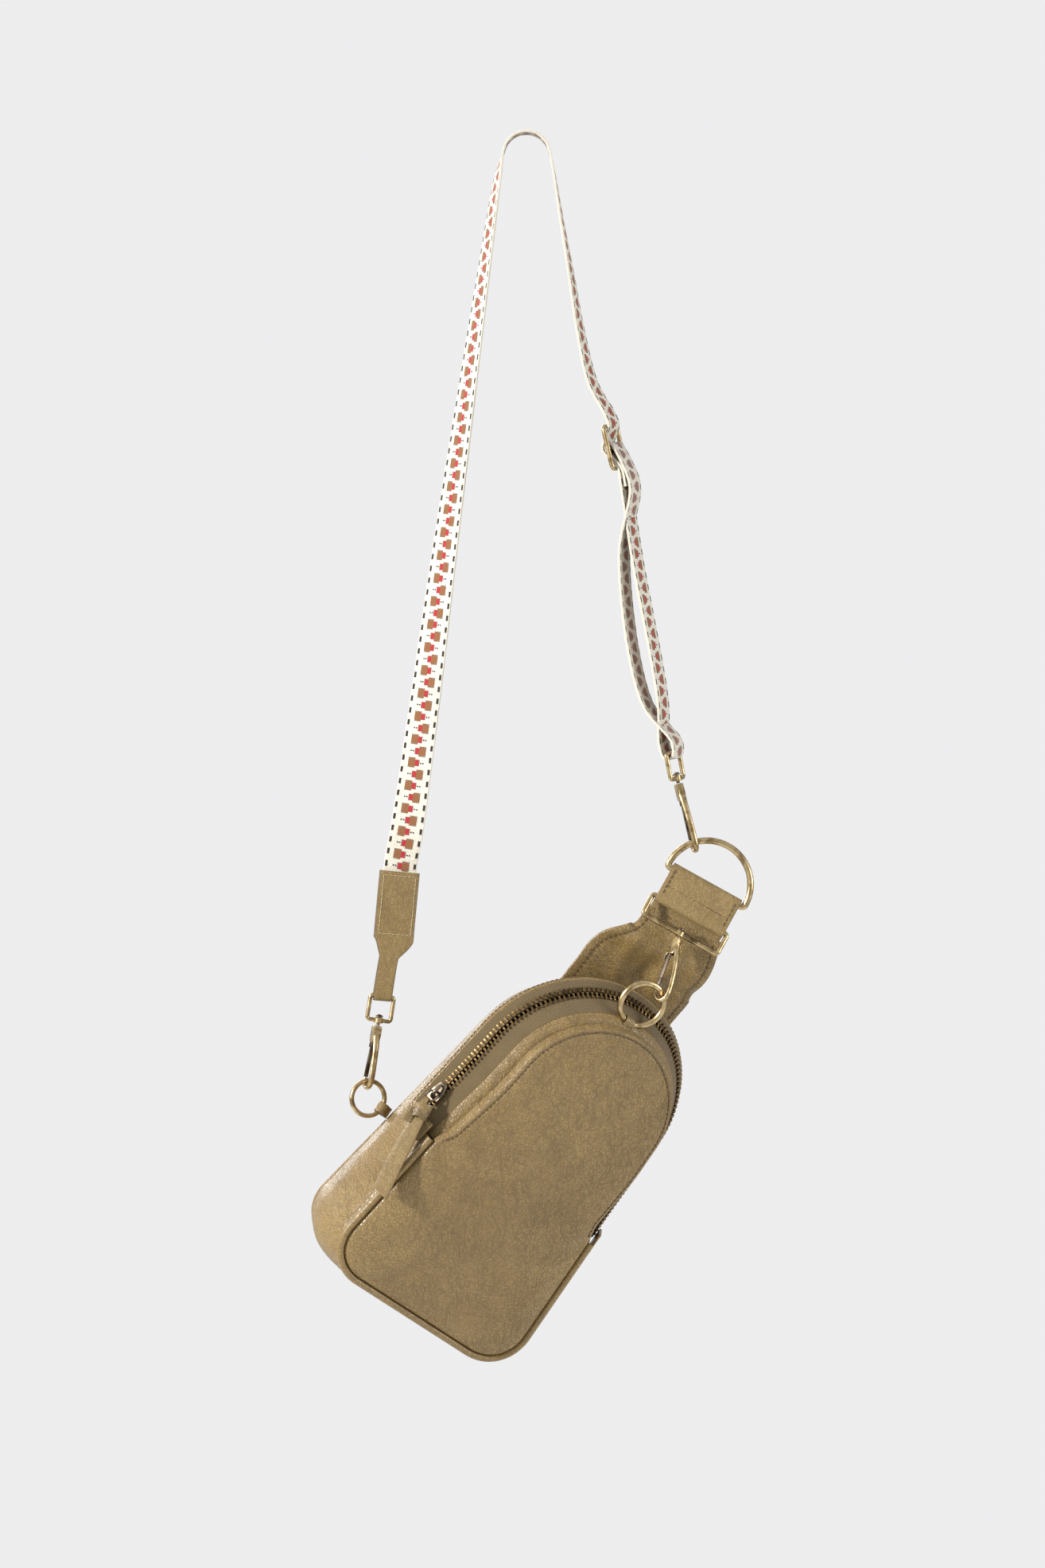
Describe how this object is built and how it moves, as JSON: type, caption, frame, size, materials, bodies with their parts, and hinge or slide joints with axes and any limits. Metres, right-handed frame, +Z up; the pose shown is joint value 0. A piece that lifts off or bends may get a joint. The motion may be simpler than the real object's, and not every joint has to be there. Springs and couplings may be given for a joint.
{
  "type": "crossbody purse",
  "caption": "small leather sling bag with puffed front, wraparound zip, piping, neck with metal rings, and a patterned webbing strap on swivel hooks",
  "frame": {"origin": "underside of the strap at its crest, where it bears on what holds it", "axes": "+Z up along the hanging strap, -Y the side that the front panel faces, +X to the right seen from the front"},
  "size_m": [0.2784, 0.142, 0.7762],
  "materials": {
    "body_leather": "olive-tan grained leather, soft sheen",
    "piping_leather": "rolled leather over cord",
    "tab_leather": "smooth leather with stitched edges",
    "webbing": "woven off-white webbing with a coloured jacquard pattern",
    "zip_tape": "woven tape",
    "zip_metal": "antique brass teeth",
    "brushed_brass": "light brushed antique brass",
    "antique_brass": "dark antique brass"
  },
  "bodies": {
    "strap": {"strap_webbing": "webbing", "strap_end_tab": "tab_leather", "adjuster_frame": "brushed_brass", "adjuster_bar": "antique_brass"},
    "left_bail": {"left_bail": "brushed_brass"},
    "left_hook": {"left_swivel_pin": "antique_brass", "left_hook_body": "brushed_brass", "left_gate_pin": "antique_brass"},
    "left_gate": {"left_hook_gate": "antique_brass"},
    "right_bail": {"right_bail": "brushed_brass"},
    "right_hook": {"right_swivel_pin": "antique_brass", "right_hook_body": "brushed_brass", "right_gate_pin": "antique_brass"},
    "right_gate": {"right_hook_gate": "antique_brass"},
    "bag": {"front_panel": "body_leather", "back_panel": "body_leather", "lower_gusset": "body_leather", "gusset_front_strip": "body_leather", "gusset_back_strip": "body_leather", "zip_tape_front": "zip_tape", "zip_tape_back": "zip_tape", "zip_teeth": "zip_metal", "edge_piping": "piping_leather", "zip_end_tab_left": "tab_leather", "zip_end_tab_right": "tab_leather", "top_ring_tab": "tab_leather", "left_ring_tab": "tab_leather", "neck_panel": "body_leather", "ring_loop_tab": "tab_leather"},
    "left_ring": {"left_ring": "brushed_brass"},
    "top_ring": {"top_ring": "brushed_brass"},
    "d_ring": {"d_ring": "brushed_brass"},
    "rect_ring": {"rect_ring": "brushed_brass"},
    "front_hook": {"front_swivel_pin": "antique_brass", "front_hook_body": "brushed_brass", "front_gate_pin": "antique_brass"},
    "front_gate": {"front_hook_gate": "antique_brass"},
    "zip_slider": {"zip_slider": "antique_brass"},
    "pull_link": {"pull_link": "antique_brass"},
    "pull_tab": {"pull_tab": "tab_leather"}
  },
  "joints": [
    {"name": "bag_swing", "type": "hinge", "parent": "strap", "child": "bag", "pos_m": [-0.0996, 0.0007, -0.5956], "axis": [0.8065, -0.0264, 0.5907], "range_deg": [-12, 12]},
    {"name": "left_bail_swing", "type": "hinge", "parent": "strap", "child": "left_bail", "pos_m": [-0.0906, 0.00079, -0.54229], "axis": [-0.973, -0.1744, 0.151], "range_deg": [-1, 1]},
    {"name": "left_hook_swivel", "type": "hinge", "parent": "left_bail", "child": "left_hook", "pos_m": [-0.093, 0.0009, -0.5576], "axis": [0.1711, 0.0052, 0.9852], "range_deg": [-6, 6]},
    {"name": "left_gate_hinge", "type": "hinge", "parent": "left_hook", "child": "left_gate", "pos_m": [-0.09569, 0.00307, -0.5679], "axis": [-0.9151, -0.3697, 0.1609], "range_deg": [0, 12], "stiffness_Nm_per_rad": 0.01, "springref_deg": -8.59},
    {"name": "right_bail_swing", "type": "hinge", "parent": "strap", "child": "right_bail", "pos_m": [0.09162, -0.006, -0.38968], "axis": [0.3358, 0.9398, 0.0638], "range_deg": [-1, 1]},
    {"name": "right_hook_swivel", "type": "hinge", "parent": "right_bail", "child": "right_hook", "pos_m": [0.0946, -0.006, -0.4054], "axis": [-0.2457, 0, 0.9693], "range_deg": [-6, 6]},
    {"name": "right_gate_hinge", "type": "hinge", "parent": "right_hook", "child": "right_gate", "pos_m": [0.09675, -0.00365, -0.41579], "axis": [-0.9509, -0.1941, -0.241], "range_deg": [0, 7], "stiffness_Nm_per_rad": 0.01, "springref_deg": -8.59},
    {"name": "left_ring_hinge", "type": "hinge", "parent": "bag", "child": "left_ring", "pos_m": [-0.09137, 0.00403, -0.6131], "axis": [0.5475, 0.2212, 0.807], "range_deg": [-2, 2]},
    {"name": "top_ring_hinge", "type": "hinge", "parent": "bag", "child": "top_ring", "pos_m": [0.06337, -0.0247, -0.55791], "axis": [0.7299, 0.454, -0.5111], "range_deg": [-1, 1]},
    {"name": "d_ring_hinge", "type": "hinge", "parent": "bag", "child": "d_ring", "pos_m": [0.11231, -0.006, -0.47367], "axis": [0.874, 0, -0.486], "range_deg": [-1, 1]},
    {"name": "rect_ring_hinge", "type": "hinge", "parent": "bag", "child": "rect_ring", "pos_m": [0.10284, -0.008, -0.49072], "axis": [0.874, 0, -0.486], "range_deg": [-0.5, 0.5]},
    {"name": "front_hook_swivel", "type": "hinge", "parent": "rect_ring", "child": "front_hook", "pos_m": [0.09605, -0.01227, -0.50292], "axis": [0.2813, 0.3131, 0.9071], "range_deg": [-6, 6]},
    {"name": "front_gate_hinge", "type": "hinge", "parent": "front_hook", "child": "front_gate", "pos_m": [0.09124, -0.01403, -0.51251], "axis": [-0.5853, -0.6931, 0.4208], "range_deg": [0, 4], "stiffness_Nm_per_rad": 0.01, "springref_deg": -8.59},
    {"name": "zip_slide", "type": "slide", "parent": "bag", "child": "zip_slider", "axis": [0.6708, -0.0721, 0.7381], "range_m": [-0.004, 0.036]},
    {"name": "pull_link_hinge", "type": "hinge", "parent": "zip_slider", "child": "pull_link", "pos_m": [-0.05618, -0.03843, -0.60049], "axis": [0.7332, -0.3315, -0.5938], "range_deg": [-20, 0.3]},
    {"name": "pull_tab_hinge", "type": "hinge", "parent": "pull_link", "child": "pull_tab", "pos_m": [-0.0628, -0.0432, -0.606], "axis": [0.8942, -0.1858, -0.4073], "range_deg": [-20, 0.5]}
  ]
}
